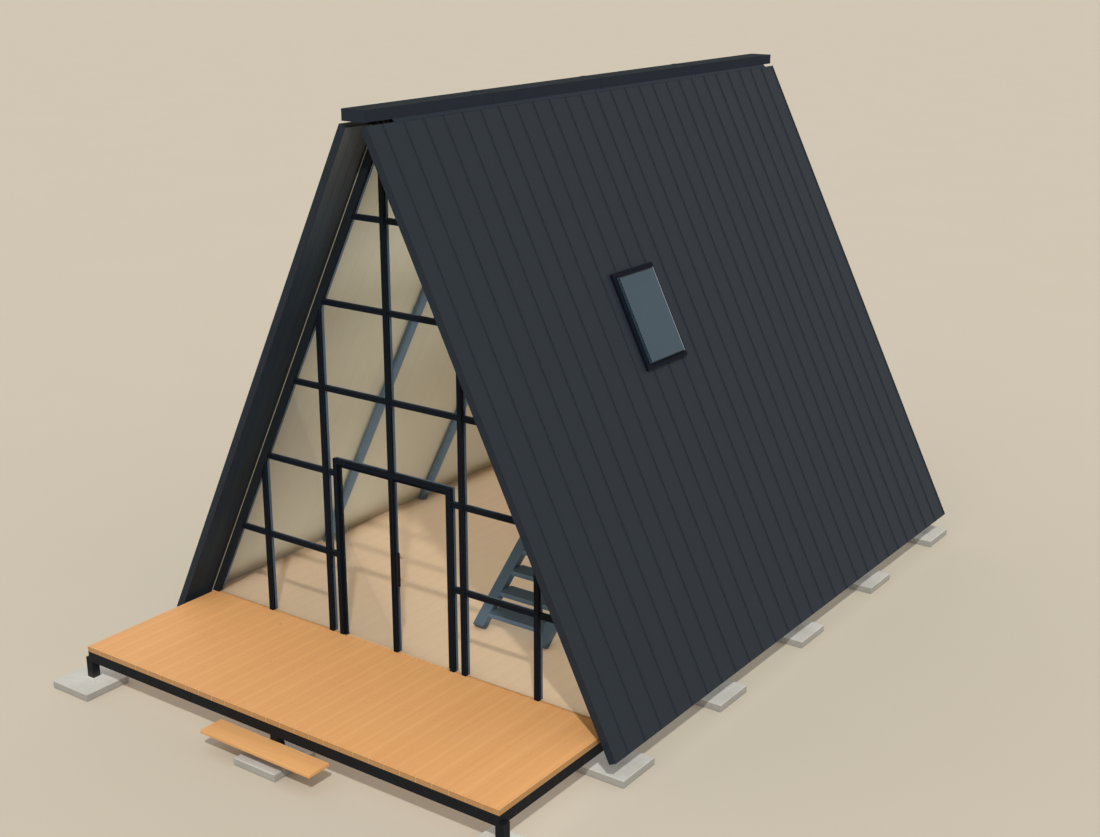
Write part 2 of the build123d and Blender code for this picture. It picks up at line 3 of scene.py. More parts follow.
import bmesh
import bpy
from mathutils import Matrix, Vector


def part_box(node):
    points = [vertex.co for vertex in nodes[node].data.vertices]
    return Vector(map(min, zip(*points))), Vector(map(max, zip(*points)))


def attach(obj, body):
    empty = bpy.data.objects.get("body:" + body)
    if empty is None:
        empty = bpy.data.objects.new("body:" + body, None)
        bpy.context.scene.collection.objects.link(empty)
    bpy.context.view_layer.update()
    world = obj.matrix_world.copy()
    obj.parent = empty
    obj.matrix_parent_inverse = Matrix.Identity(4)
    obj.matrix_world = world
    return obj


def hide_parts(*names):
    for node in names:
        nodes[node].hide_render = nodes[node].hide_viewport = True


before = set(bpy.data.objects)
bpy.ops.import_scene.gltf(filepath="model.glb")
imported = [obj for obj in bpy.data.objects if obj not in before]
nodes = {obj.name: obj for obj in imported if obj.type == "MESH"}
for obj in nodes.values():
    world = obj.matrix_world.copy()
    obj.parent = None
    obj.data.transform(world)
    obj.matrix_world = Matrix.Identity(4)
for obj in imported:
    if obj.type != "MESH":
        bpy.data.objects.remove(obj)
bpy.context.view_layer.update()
bpy.ops.object.select_all(action="DESELECT")


# Concrete pads. Each of the eighteen pads is cast in one piece with a chamfered top edge
# and lies on the levelled ground. The faces are plain cast concrete: grey, slightly warm,
# with fine pores, broad pale and dark patches and a damp line along the foot.
def mixed(red, green, blue):
    """A paint or timber tone from its 0 to 255 values, as the shader takes it."""
    tone = []
    for part in (red, green, blue):
        part /= 255
        tone.append(part / 12.92 if part <= 0.04045 else ((part + 0.055) / 1.055) ** 2.4)
    return (*tone, 1.0)


class Reading:
    """A value read over a surface. Arithmetic on readings adds Math nodes."""

    def __init__(self, socket):
        self.socket = socket

    def worked(self, operation, *terms):
        tree = self.socket.id_data
        step = tree.nodes.new("ShaderNodeMath")
        step.operation = operation
        for place, term in enumerate(terms):
            if isinstance(term, Reading):
                tree.links.new(term.socket, step.inputs[place])
            else:
                step.inputs[place].default_value = term
        return Reading(step.outputs[0])

    def __add__(self, other):
        return self.worked("ADD", self, other)

    def __radd__(self, other):
        return self.worked("ADD", other, self)

    def __sub__(self, other):
        return self.worked("SUBTRACT", self, other)

    def __rsub__(self, other):
        return self.worked("SUBTRACT", other, self)

    def __mul__(self, other):
        return self.worked("MULTIPLY", self, other)

    def __rmul__(self, other):
        return self.worked("MULTIPLY", other, self)

    def __truediv__(self, other):
        return self.worked("DIVIDE", self, other)

    def __gt__(self, other):
        return self.worked("GREATER_THAN", self, other)

    def __abs__(self):
        return self.worked("ABSOLUTE", self)


class Recipe:
    """A set of linked nodes that is built up one node at a time."""

    def __init__(self, tree):
        self.tree = tree

    def add(self, kind, setting=None, out=0, **sockets):
        """Add a node: its settings first, then a value or a link for each named socket."""
        made = self.tree.nodes.new(kind)
        for name, value in (setting or {}).items():
            setattr(made, name, value)
        self.fill(made, sockets)
        return made if out is None else Reading(made.outputs[out])

    def fill(self, made, sockets):
        """Set a value or a link on each named socket of a node."""
        for name, value in sockets.items():
            socket = next(s for s in made.inputs if s.identifier.replace(" ", "_") == name)
            if isinstance(value, Reading):
                self.tree.links.new(value.socket, socket)
            else:
                socket.default_value = value


class Finish(Recipe):
    """A surface finish, which ends in one shader."""

    def __init__(self, name, **settings):
        self.material = bpy.data.materials.new(name)
        self.material.use_nodes = True
        super().__init__(self.material.node_tree)
        self.shader = self.tree.nodes["Principled BSDF"]
        self.place = self.add("ShaderNodeTexCoord", out="Object")
        self.x, self.y, self.z = self.parts(self.place)
        self.surface(**settings)

    def surface(self, **sockets):
        """Set values or links on the shader that the finish ends in."""
        self.fill(self.shader, sockets)

    def parts(self, arrow):
        """A place or a direction as three readings."""
        spread = self.add("ShaderNodeSeparateXYZ", Vector=arrow, out=None)
        return [Reading(socket) for socket in spread.outputs]

    def facing(self):
        """The direction that the surface looks in, as three readings."""
        return self.parts(self.add("ShaderNodeTexCoord", out="Normal"))

    def joined(self, x, y, z):
        """Three readings or numbers as one place in a pattern."""
        return self.add("ShaderNodeCombineXYZ", X=x, Y=y, Z=z)

    def cloud(self, place, scale, detail=3.0, rough=0.55):
        """Soft irregular patches between 0 and 1, about one over scale metres wide."""
        return self.add(
            "ShaderNodeTexNoise", Vector=place, Scale=scale, Detail=detail, Roughness=rough
        )

    def ramp(self, value, low, high, start=0.0, end=1.0):
        """Bring a reading from one range to another and keep it inside it."""
        return self.add(
            "ShaderNodeMapRange",
            Value=value,
            From_Min=low,
            From_Max=high,
            To_Min=start,
            To_Max=end,
        )

    def blend(self, share, first, second):
        """Mix two tones by a share between 0 and 1."""
        return self.add(
            "ShaderNodeMix",
            {"data_type": "RGBA"},
            out=2,
            Factor_Float=share,
            A_Color=first,
            B_Color=second,
        )

    def relief(self, height, depth, strength=1.0, under=None):
        """Turn a height pattern into relief of the given depth in metres."""
        sockets = {"Height": height, "Distance": depth, "Strength": strength}
        if under is not None:
            sockets["Normal"] = under
        return self.add("ShaderNodeBump", **sockets)

    def dress(self, *names):
        """Give this finish to nodes of the CAD model."""
        for name in names:
            for slot in nodes[name].material_slots:
                slot.material = self.material


concrete = Finish("concrete", Roughness=0.9, Specular_IOR_Level=0.3)
patches = concrete.cloud(concrete.place, 2.6, 4.0)
speckle = concrete.cloud(concrete.place, 55.0, 3.0, 0.7)
sand = concrete.cloud(concrete.place, 320.0, 2.0, 0.6)
pores = concrete.add("ShaderNodeTexVoronoi", Vector=concrete.place, Scale=34.0)
pore = concrete.ramp(pores, 0.09, 0.16, 1.0, 0.0)
damp = concrete.ramp(concrete.z + speckle * 0.02, 0.012, 0.034, 1.0, 0.0)
pale_patch = concrete.ramp(patches, 0.35, 0.68)
grey_grain = concrete.ramp(speckle, 0.45, 0.8, 0.0, 0.3)
# Painted shade: the side faces of the pads are painted darker than their tops.
painted_side_shade = concrete.ramp(concrete.facing()[2], 0.3, 0.8, 0.6, 0.0)
tone = concrete.blend(pale_patch, mixed(190, 187, 178), mixed(205, 202, 194))
tone = concrete.blend(grey_grain, tone, mixed(164, 160, 150))
tone = concrete.blend(pore * 0.5, tone, mixed(112, 108, 100))
tone = concrete.blend(damp * 0.5, tone, mixed(128, 119, 103))
tone = concrete.blend(painted_side_shade, tone, mixed(134, 131, 124))
skin = concrete.relief(sand + speckle * 1.4, 0.0012)
skin = concrete.relief(pore * -1.0, 0.003, 0.6, skin)
concrete.surface(Base_Color=tone, Normal=skin)
concrete.dress("footing_pads")


# Posts and floor frame. Square steel posts stand on the pads and are notched round the
# long beams; cross beams are welded in between. All of it is powder coated near black.
# Dust lies on the flats and splashed soil has dulled the lowest hand's width.
def coated(name, tone, worn, rough=0.42, sky_sheen=None, gloss=0.14, jamb=False):
    """Powder coat on metal with faint mottling and dust. Sky sheen is a lighter blue grey tone
    and a distance along y: behind a dark front cap folded back to that distance, the side and
    top faces are painted that tone as a painted sky reflection. On a jamb only the side away
    from the door is painted so."""
    coat = Finish(name, Specular_IOR_Level=gloss)
    mottle = coat.cloud(coat.place, 5.0, 4.0)
    peel = coat.cloud(coat.place, 900.0, 2.0, 0.5)
    smear = coat.cloud(coat.joined(coat.x, coat.y, coat.z * 0.2), 22.0, 4.0, 0.65)
    shown = coat.blend(coat.ramp(mottle, 0.35, 0.7, 0.0, 0.35), tone, worn)
    shown = coat.blend(coat.ramp(smear, 0.55, 0.85, 0.0, 0.3), shown, worn)
    if sky_sheen:
        sky_sheen_tone, cap_back = sky_sheen
        # Painted sky reflection: side and top faces behind the dark cap take the lighter tone.
        look_x, _, look_z = coat.facing()
        aside = look_x * coat.x if jamb else abs(look_x)
        behind = coat.ramp(aside + look_z, 0.25, 0.4) * (coat.y > cap_back)
        shown = coat.blend(behind, shown, sky_sheen_tone)
    splash = coat.ramp(coat.z + mottle * 0.08, 0.1, 0.24, 0.32, 0.0)
    shown = coat.blend(splash, shown, mixed(116, 106, 90))
    coat.surface(
        Base_Color=shown,
        Roughness=coat.ramp(smear, 0.3, 0.8, rough - 0.07, rough + 0.14) + splash * 0.5,
        Normal=coat.relief(peel, 0.00025, 0.5),
    )
    coat.shown = shown
    return coat


frame_coat = coated("frame_coat", mixed(17, 20, 24), mixed(24, 27, 31), 0.6)
frame_coat.dress(
    "foot_posts",
    "left_side_beam",
    "right_side_beam",
    "centre_beam",
    "cross_beams",
    "step_brackets",
)


# Post feet. A low bed of grey mortar is trowelled round the foot of every post, sloped off
# on all four sides, and holds it to its pad.
def opened(name):
    """Name the primitive that was just added and open it with nothing selected."""
    piece = bpy.context.object
    piece.name = name
    piece.data.name = name
    bpy.ops.object.mode_set(mode="EDIT")
    bpy.ops.mesh.select_mode(type="FACE")
    bpy.ops.mesh.select_all(action="DESELECT")
    return piece


def block(name, middle, size, turn=0.0):
    """Add and open a block of a size at its middle, turned about y."""
    bpy.ops.mesh.primitive_cube_add(size=1, location=middle)
    bpy.context.object.scale = size
    bpy.context.object.rotation_euler = (0, turn, 0)
    bpy.ops.object.transform_apply(location=True, rotation=True, scale=True)
    return opened(name)


def pick(test):
    """Select the faces of the open piece that pass a test, and no others."""
    shape = bmesh.from_edit_mesh(bpy.context.object.data)
    for face in shape.faces:
        face.select_set(test(face))
    shape.select_flush_mode()
    bmesh.update_edit_mesh(bpy.context.object.data)


def upward(face):
    """Whether a face looks up."""
    return face.normal.z > 0.9


def downward(face):
    """Whether a face looks down."""
    return face.normal.z < -0.9


def eased(radius, segments=2):
    """Round the selected edges of the open piece."""
    bpy.ops.mesh.bevel(offset=radius, segments=segments, affect="EDGES")


def closed(piece, finish):
    """Close the open piece, put its place in its mesh and give it its finish."""
    bpy.ops.object.mode_set(mode="OBJECT")
    bpy.ops.object.transform_apply(location=True, rotation=True, scale=True)
    piece.data.materials.clear()
    piece.data.materials.append(finish.material)
    piece.select_set(False)
    return piece


def copied(piece, move=(0, 0, 0)):
    """A second piece like the first with its own mesh, moved by a distance."""
    twin = piece.copy()
    twin.data = piece.data.copy()
    bpy.context.collection.objects.link(twin)
    for corner in twin.data.vertices:
        corner.co += Vector(move)
    return twin


def united(pieces, name):
    """Join separate solids of one finish into one piece."""
    for piece in pieces:
        piece.select_set(True)
    bpy.context.view_layer.objects.active = pieces[0]
    bpy.ops.object.join()
    whole = bpy.context.object
    whole.name = name
    whole.data.name = name
    whole.select_set(False)
    return whole


pad_top = 0.09
post_half = 0.05
bed_wide = 0.14
bed_high = 0.012
bed_slope = 0.8
bed_round = 0.003
line_xs = (-3.0, 0.0, 3.0)
row_ys = [-5.0, -3.0, -1.0, 1.0, 3.0, 5.0]
post_ys = [row_ys[0] + post_half] + row_ys[1:]
bed = block("mortar_bed", (0, 0, pad_top + bed_high / 2), (bed_wide, bed_wide, bed_high))
pick(upward)
bpy.ops.transform.resize(value=(bed_slope, bed_slope, 1.0))
eased(bed_round)
closed(bed, concrete)
spots = [(x, y, 0) for x in line_xs for y in post_ys]
post_feet = united([copied(bed, spot) for spot in spots], "post_feet")
bpy.data.objects.remove(bed)
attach(post_feet, "cabin")


# Deck boards. Planed softwood boards, one width, run from the front beam back to the
# glazing with narrow gaps. They are oiled a warm honey tone, each board a little different,
# with long soft grain, a pale heart streak and a few small knots.
slope_level = 0.4472
slope_steep = 0.8944


def ways(finish):
    """The directions that boards and trays run along or lie across, as readings."""
    down = abs(finish.x) * slope_level - finish.z * slope_steep
    return {"x": finish.x, "y": finish.y, "z": finish.z, "slope": down}


def timber(
    name,
    tones,
    along,
    across,
    width,
    start=0.0,
    joint=0.0,
    streak=0.0,
    rough=0.55,
    contrast=1.0,
):
    """Boards of one width with long grain. Tones are pale, deep and dark, and along and
    across name two of the ways."""
    wood = Finish(name, Specular_IOR_Level=0.35)
    axes = ways(wood)
    run = axes[along]
    cross = axes[across]
    spread = (cross + start) / width
    board = spread.worked("FLOOR", spread)
    luck = wood.add("ShaderNodeTexWhiteNoise", {"noise_dimensions": "1D"}, W=board + 7.3)
    place = spread.worked("FRACT", spread)
    third = next(axes[key] for key in "zxy" if key not in (along, across))
    if along == "slope":
        third = wood.x
    side = cross + luck * 11.0
    far = run + luck * 23.0
    fibre = wood.cloud(wood.joined(side, far * 0.035, third), 210.0, 3.0, 0.6)
    streaks = wood.cloud(wood.joined(side, far * 0.03, third), 34.0, 4.0, 0.6)
    rings = wood.add(
        "ShaderNodeTexWave",
        {"bands_direction": "X"},
        Vector=wood.joined(side, far * 0.07, third),
        Scale=13.0,
        Distortion=9.0,
        Detail=3.0,
        Detail_Scale=0.9,
    )
    share = fibre * 0.34 + streaks * 0.5 + rings * 0.16 + luck * 0.2 - 0.13
    share = (share - 0.45) * contrast + 0.45
    if streak:
        heart = wood.ramp(abs(place - 0.68), 0.05, 0.17, streak, 0.0)
        share = share - heart
    pale, deep, dark = (mixed(*tone) for tone in tones)
    shown = wood.blend(wood.ramp(share, 0.12, 0.9), pale, deep)
    eyes = wood.joined(side, far * 0.6, third)
    eyes = wood.add("ShaderNodeTexVoronoi", Vector=eyes, Scale=2.4)
    knot = wood.ramp(eyes, 0.016, 0.034, 1.0, 0.0)
    shown = wood.blend(knot * 0.7, shown, dark)
    height = fibre * 0.5 + streaks * 0.5
    skin = wood.relief(height, 0.0012, 0.6)
    if joint:
        groove = wood.ramp(abs(place - 0.5), 0.5 - joint / width, 0.5, 0.0, 1.0)
        shown = wood.blend(groove * (0.75 * contrast), shown, dark)
        skin = wood.relief(groove * -1.0, 0.004 * contrast, 0.8, skin)
    wood.surface(
        Base_Color=shown,
        Roughness=wood.ramp(fibre, 0.25, 0.75, rough - 0.08, rough + 0.12),
        Normal=skin,
    )
    wood.shown = shown
    return wood


deck_wide = 6.004
board_count = 29
deck_pitch = deck_wide / board_count
deck_oil = timber(
    "deck_oil",
    [(232, 173, 112), (212, 149, 89), (122, 78, 42)],
    "y",
    "x",
    deck_pitch,
    start=deck_pitch / 2,
    streak=0.16,
    contrast=0.6,
)
rim_x = 2.9995
rim_y = 4.9995
edge = abs(deck_oil.x) > rim_x
# Painted light: the side faces of the boards, down in the gaps, are painted pale to lift their
# shade.
between = (abs(deck_oil.facing()[0]) > 0.5) * (1.0 - edge)
# Painted shade: the upright outer faces round the deck are painted darker.
painted_edge_shade = deck_oil.ramp(edge + (-1.0 * deck_oil.y > rim_y), 0.0, 1.0, 0.0, 0.85)
shown = deck_oil.blend(between, deck_oil.shown, mixed(252, 218, 164))
shown = deck_oil.blend(painted_edge_shade, shown, mixed(168, 126, 80))
deck_oil.surface(Base_Color=shown)
deck_oil.dress("deck_boards")
deck_top = 0.495
screw_radius = 0.0042
screw_high = 0.003
screw_mid = deck_top - 0.0007
screw_rim = 0.0012
drive_edge = 0.0009
drive_deep = 0.0012
beam_ys = (-4.97, -4.0, -3.035)
screw_side = 0.062
bpy.ops.mesh.primitive_cylinder_add(
    vertices=8, radius=screw_radius, depth=screw_high, location=(0, 0, screw_mid)
)
screw = opened("deck_screw")
pick(upward)
bpy.ops.mesh.inset(thickness=screw_rim)
bpy.ops.mesh.inset(thickness=drive_edge)
bpy.ops.mesh.extrude_region_move(TRANSFORM_OT_translate={"value": (0, 0, -drive_deep)})
screw_steel = Finish("screw_steel", Metallic=1.0, Roughness=0.38)
tarnish = screw_steel.cloud(screw_steel.place, 60.0)
screw_steel.surface(
    Base_Color=screw_steel.blend(tarnish, mixed(176, 172, 164), mixed(124, 116, 104)),
    Normal=screw_steel.relief(screw_steel.cloud(screw_steel.place, 1500.0), 0.0002),
)
closed(screw, screw_steel)
spots = []
for board in range(-(board_count // 2), board_count // 2 + 1):
    for beam_y in beam_ys:
        for side in (-screw_side, screw_side):
            spots.append((board * deck_pitch + side, beam_y, 0))
deck_screws = united([copied(screw, spot) for spot in spots], "deck_screws")
bpy.data.objects.remove(screw)
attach(deck_screws, "cabin")


# Entrance plank. One thick board of the deck timber lies on a steel bar in front of the
# deck. Its long edges and ends are slightly rounded and its grain runs along it.
def rounded(radius, segments=2):
    """Round every edge of the open piece."""
    bpy.ops.mesh.select_all(action="SELECT")
    eased(radius, segments)


def shaded(piece, degrees):
    """Let the faces of a piece that meet at less than an angle shade as one."""
    piece.select_set(True)
    bpy.ops.object.shade_smooth_by_angle(angle=math.radians(degrees))
    piece.select_set(False)


plank_tones = [(228, 174, 113), (208, 148, 88), (120, 76, 41)]
plank_round = 0.005
plank_oil = timber("plank_oil", plank_tones, "x", "y", 0.6, start=5.9)
plank_low, plank_high = (Vector(corner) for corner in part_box("step_plank"))
plank = block("entrance_plank", (plank_low + plank_high) / 2, plank_high - plank_low)
rounded(plank_round, 3)
closed(plank, plank_oil)
shaded(plank, 35)
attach(plank, "cabin")
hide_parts("step_plank")


# Cabin floor, sole plates and loft floor. Tongued softwood boards, laid tight in the same
# direction and width as the deck and sealed with a clear matt lacquer. A slim cork strip
# closes the joint between the deck and the floor.
floor_oil = timber(
    "floor_oil",
    [(218, 188, 155), (206, 177, 142), (136, 108, 78)],
    "y",
    "x",
    deck_pitch,
    start=deck_pitch / 2,
    joint=0.003,
    streak=0.1,
    rough=0.5,
    contrast=0.45,
)
floor_oil.dress("cabin_floor", "sole_plates", "loft_floor")
joint_low = Vector((-2.98, -3.0038, 0.46))
joint_high = Vector((2.98, -3.0002, 0.494))
joint_round = 0.0008
floor_joint = block("floor_joint", (joint_low + joint_high) / 2, joint_high - joint_low)
pick(upward)
eased(joint_round)
cork = Finish("joint_cork", Roughness=0.85, Specular_IOR_Level=0.2)
crumbs = cork.cloud(cork.place, 420.0, 3.0, 0.7)
cork.surface(
    Base_Color=cork.blend(crumbs, mixed(232, 196, 146), mixed(206, 166, 116)),
    Roughness=cork.ramp(crumbs, 0.3, 0.7, 0.75, 0.95),
    Normal=cork.relief(crumbs, 0.0004),
)
closed(floor_joint, cork)
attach(floor_joint, "cabin")


# Roof frames. Three pairs of round steel tubes lean against the ridge beam inside the
# lining, and an open stair of the same steel climbs between them to the loft.
def merged(name, ending):
    """Open a copy of a CAD node, with the corners of its faces merged."""
    piece = copied(nodes[name])
    piece.select_set(True)
    bpy.context.view_layer.objects.active = piece
    opened(name + ending)
    bpy.ops.mesh.select_all(action="SELECT")
    bpy.ops.mesh.remove_doubles(threshold=0.00002)
    return piece


def smoothed(name, finish, body="cabin"):
    """Dress a round CAD node by a merged copy whose curved faces shade as one."""
    piece = closed(merged(name, "_smooth"), finish)
    shaded(piece, 32)
    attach(piece, body)
    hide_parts(name)
    return piece


# The tubes and the stair are dark steel, painted a lighter slate blue: a painted reflection of
# the front glass before them, and painted light against the shade of the room.
tube_coat = coated("tube_coat", mixed(86, 104, 119), mixed(96, 114, 129), 0.45)
tubes = smoothed("a_frame_tubes", tube_coat)
stair_coat = coated("stair_coat", mixed(73, 89, 100), mixed(83, 98, 110), 0.45)
stair_coat.dress("stair_stringers", "stair_treads")


# Inner lining. Planed softwood boards nailed up both slopes and on the closed back gable,
# with the ridge beam, the loft beams and the slim trims beside the raking frames in the
# same clear-finished timber.
def stained_and_shaded(wood, share, stain=mixed(36, 37, 39)):
    """Darken the part of the boards where a share is 1. Most calls lay a stain; on the top of
    the ridge beam it is painted shade.
    """
    wood.shown = wood.blend(share, wood.shown, stain)
    wood.surface(Base_Color=wood.shown)


def outward(wood):
    """The distance out from the middle of the floor, square to either slope."""
    return abs(wood.x) * slope_steep + wood.z * slope_level


lining_tones = [(193, 186, 163), (179, 171, 148), (122, 110, 88)]
trim_tones = [(197, 195, 181), (184, 181, 167), (126, 118, 102)]
board_wide = 0.25
lining_back = 2.9756
trim_back = 2.9456
beam_high = 6.42
beam_rear = 4.98
slope_boards = timber(
    "slope_boards", lining_tones, "slope", "y", board_wide, joint=0.003, contrast=0.6
)
stained_and_shaded(slope_boards, outward(slope_boards) > lining_back)
slope_boards.dress("left_lining", "right_lining")
gable_boards = timber("gable_boards", lining_tones, "z", "x", board_wide, joint=0.004)
gable_boards.dress("rear_lining")
whole = {"width": 0.9, "start": 0.45}
beam_timber = timber("beam_timber", lining_tones, "y", "x", **whole)
# Painted shade: the top of the ridge beam, in the gap under the cap, is painted dark.
stained_and_shaded(beam_timber, beam_timber.z > beam_high)
stained_and_shaded(beam_timber, beam_timber.y > beam_rear, mixed(30, 34, 39))
beam_timber.dress("ridge_beam")
tie_timber = timber("tie_timber", lining_tones, "x", "y", **whole)
tie_timber.dress("loft_beams")
trim_timber = timber("trim_timber", trim_tones, "slope", "y", **whole)
stained_and_shaded(trim_timber, outward(trim_timber) > trim_back)
trim_timber.dress("gable_trims")


# Roof panels. The structural boards of both slopes show as dark stained soffits under the
# front and rear overhang and along the eaves. The wall panel of the back gable is the same.
# Faint grooves part the boards down the slope.
verge_front = -3.42
verge_rear = 5.205
soffit_pitch = 0.14
soffit = Finish("soffit_stain", Specular_IOR_Level=0.12)
down = ways(soffit)["slope"]
grain = soffit.cloud(soffit.joined(soffit.y, down * 0.05, soffit.x * 0.05), 60.0, 4.0, 0.62)
cell = (soffit.y - verge_front) / soffit_pitch
notch = soffit.ramp(abs(cell.worked("FRACT", cell) - 0.5), 0.47, 0.5)
weather = soffit.ramp(soffit.cloud(soffit.place, 1.1, 3.0), 0.4, 0.75, 0.0, 0.35)
# Painted light: the boards are painted lighter towards the ridge and from the front verge
# inwards, to make up for their shade.
painted_ridge_light = soffit.ramp(soffit.z, 4.3, 6.4)
painted_inner_light = soffit.ramp(soffit.y, -3.36, -3.05, 0.0, 0.12)
stain = soffit.blend(soffit.ramp(grain, 0.3, 0.75), mixed(32, 48, 61), mixed(40, 55, 68))
stain = soffit.blend(weather, stain, mixed(48, 56, 64))
stain = soffit.blend(painted_ridge_light * painted_ridge_light, stain, mixed(101, 107, 109))
stain = soffit.blend(painted_inner_light, stain, mixed(112, 114, 118))
stain = soffit.blend(notch * 0.5, stain, mixed(18, 20, 22))
# Painted shade: the faces that look up are painted dark.
stain = soffit.blend(soffit.facing()[2] > 0.1, stain, mixed(24, 27, 30))
skin = soffit.relief(grain, 0.0012, 0.6)
soffit.surface(
    Base_Color=stain,
    Roughness=soffit.ramp(grain, 0.3, 0.75, 0.55, 0.74),
    Normal=soffit.relief(notch * -1.0, 0.004, 0.8, skin),
)
soffit.dress("left_roof_panel", "right_roof_panel", "rear_wall")


# Roof skin. Long trays of factory-painted steel in a dark blue grey, folded together in
# low standing seams from the ridge to the eave. The flat of each tray is never quite
# flat, and rain has left faint pale runs down the slope.
def seamed(name, along, across, start, flat, runs, seam):
    """Painted steel trays 322 mm wide that run along one direction. The side faces of the
    seams are painted a little paler, painted light that lifts their shade."""
    tray_width = 0.322
    metal = Finish(name, Specular_IOR_Level=0.14)
    run = ways(metal)[along]
    cross = ways(metal)[across]
    cell = (cross - start) / tray_width
    tray = cell.worked("FLOOR", cell)
    luck = metal.add("ShaderNodeTexWhiteNoise", {"noise_dimensions": "1D"}, W=tray + 3.7)
    wave = metal.cloud(metal.joined(cross * 0.8, run * 1.4 + luck * 9.0, 0.0), 2.2, 2.0, 0.4)
    wave = wave * metal.ramp(abs(cell.worked("FRACT", cell) - 0.5), 0.36, 0.47, 1.0, 0.0)
    rain = metal.cloud(metal.joined(cross, run * 0.03 + luck * 5.0, 0.0), 26.0, 4.0, 0.6)
    dust = metal.cloud(metal.place, 1.4, 5.0, 0.6)
    grit = metal.cloud(metal.place, 700.0, 2.0, 0.5)
    shown = metal.blend(metal.ramp(rain, 0.42, 0.8, 0.0, 0.42), flat, runs)
    shown = metal.blend(metal.ramp(dust, 0.45, 0.8, 0.0, 0.3), shown, runs)
    shown = metal.blend(luck * 0.12, shown, mixed(36, 42, 48))
    # Painted light: the side faces of the seams take the paler tone.
    look = metal.facing()["xyz".index(across)]
    shown = metal.blend(abs(look) > 0.5, shown, seam)
    skin = metal.relief(wave, 0.006, 0.35)
    skin = metal.relief(grit, 0.0002, 0.5, skin)
    metal.surface(
        Base_Color=shown,
        Roughness=metal.ramp(rain * 0.6 + dust * 0.4, 0.3, 0.75, 0.44, 0.6),
        Normal=skin,
    )
    return metal


first_seam = -3.174
skin_tones = (mixed(37, 44, 52), mixed(42, 49, 57), mixed(50, 58, 67))
roof_metal = seamed("roof_metal", "slope", "y", first_seam, *skin_tones)
roof_metal.dress("left_roof_cladding", "right_roof_cladding")
wall_metal = seamed("wall_metal", "z", "x", 0.0, *skin_tones)
wall_metal.dress("rear_cladding")


# Verge and eave flashings. Thin strips of the same painted steel are folded over the cut
# edges of the roof: one up each verge at the front and the back, one along each eave.
edge_metal = Finish("edge_metal", Specular_IOR_Level=0.14)
worn = edge_metal.cloud(edge_metal.place, 9.0, 5.0, 0.6)
fine = edge_metal.cloud(edge_metal.place, 700.0, 2.0, 0.5)
rubbed = edge_metal.ramp(worn, 0.4, 0.78, 0.0, 0.6)
edge_metal.surface(
    Base_Color=edge_metal.blend(rubbed, mixed(32, 40, 50), mixed(40, 48, 58)),
    Roughness=edge_metal.ramp(worn, 0.3, 0.75, 0.42, 0.6),
    Normal=edge_metal.relief(fine, 0.0002, 0.5),
)
half_span = 3.0
ridge_rise = 6.0
ridge_z = 6.495
leg = math.hypot(half_span, ridge_rise)
slope_turn = math.atan2(ridge_rise, half_span)
slope_top = 0.05
slope_end = leg + 0.26
sheet_out = 0.185
panel_in = 0.095
strip_wide = sheet_out - panel_in + 0.004
strip_thick = 0.003
strip_round = 0.001


def on_slope(side, along, out):
    """The place a distance down a slope from the ridge and a distance out from it."""
    x = (along * half_span + out * ridge_rise) / leg
    return side * x, ridge_z - (along * ridge_rise - out * half_span) / leg


edge_strips = []
for side in (-1, 1):
    strip_out = (sheet_out + panel_in) / 2
    x, z = on_slope(side, (slope_top + slope_end) / 2, strip_out)
    size = (slope_end - slope_top, strip_thick, strip_wide)
    for y in (verge_front - strip_thick / 2, verge_rear + strip_thick / 2):
        strip = block("verge_strip", (x, y, z), size, side * slope_turn)
        rounded(strip_round)
        edge_strips.append(closed(strip, edge_metal))
    x, z = on_slope(side, slope_end + strip_thick / 2, strip_out)
    size = (strip_thick, verge_rear - verge_front, strip_wide)
    strip = block("eave_strip", (x, (verge_rear + verge_front) / 2, z), size, side * slope_turn)
    rounded(strip_round)
    edge_strips.append(closed(strip, edge_metal))
edge_flashings = united(edge_strips, "edge_flashings")
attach(edge_flashings, "cabin")


# Ridge cap. A box of bent steel lies along the ridge beam in lengths of about two metres.
# A slightly wider sleeve covers each joint, riveted at the sides, and a slim closure strip
# on each side shuts the gap down to the roof trays between the gables.
def thickened(piece, sheet, side):
    """Give the faces of a closed piece a thickness, inwards at -1 and outwards at 1."""
    wall = piece.modifiers.new("sheet", "SOLIDIFY")
    wall.thickness = sheet
    wall.offset = side
    bpy.context.view_layer.objects.active = piece
    bpy.ops.object.modifier_apply(modifier=wall.name)


cap_coat = coated("cap_coat", mixed(39, 45, 54), mixed(43, 49, 58), 0.75, gloss=0.04)
# Painted shade: the top face of the cap is painted darker than its sides.
painted_top_shade = cap_coat.ramp(cap_coat.facing()[2], 0.3, 0.9, 0.0, 0.85)
cap_coat.surface(Base_Color=cap_coat.blend(painted_top_shade, cap_coat.shown, mixed(31, 37, 42)))
cap_coat.dress("ridge_cap")
cap_low, cap_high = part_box("ridge_cap")
cap_lengths = 4
sleeve_long = 0.09
sleeve_proud = 0.003
sleeve_round = 0.002
cap_mid = (cap_low.z + cap_high.z) / 2
sleeve_size = (
    cap_high.x - cap_low.x + 2 * sleeve_proud,
    sleeve_long,
    cap_high.z - cap_low.z + sleeve_proud,
)
sleeve = block("cap_sleeve", (0, 0, cap_mid + sleeve_proud / 2), sleeve_size)
pick(downward)
bpy.ops.mesh.delete(type="FACE")
pick(upward)
eased(sleeve_round)
closed(sleeve, cap_coat)
thickened(sleeve, sleeve_proud - 0.0005, -1)
rivet_radius = 0.005
rivet_high = 0.004
crown_in = 0.002
crown_up = 0.0012
rivet_reach = 0.03
rivet_rise = 0.035
bpy.ops.mesh.primitive_cylinder_add(vertices=10, radius=rivet_radius, depth=rivet_high)
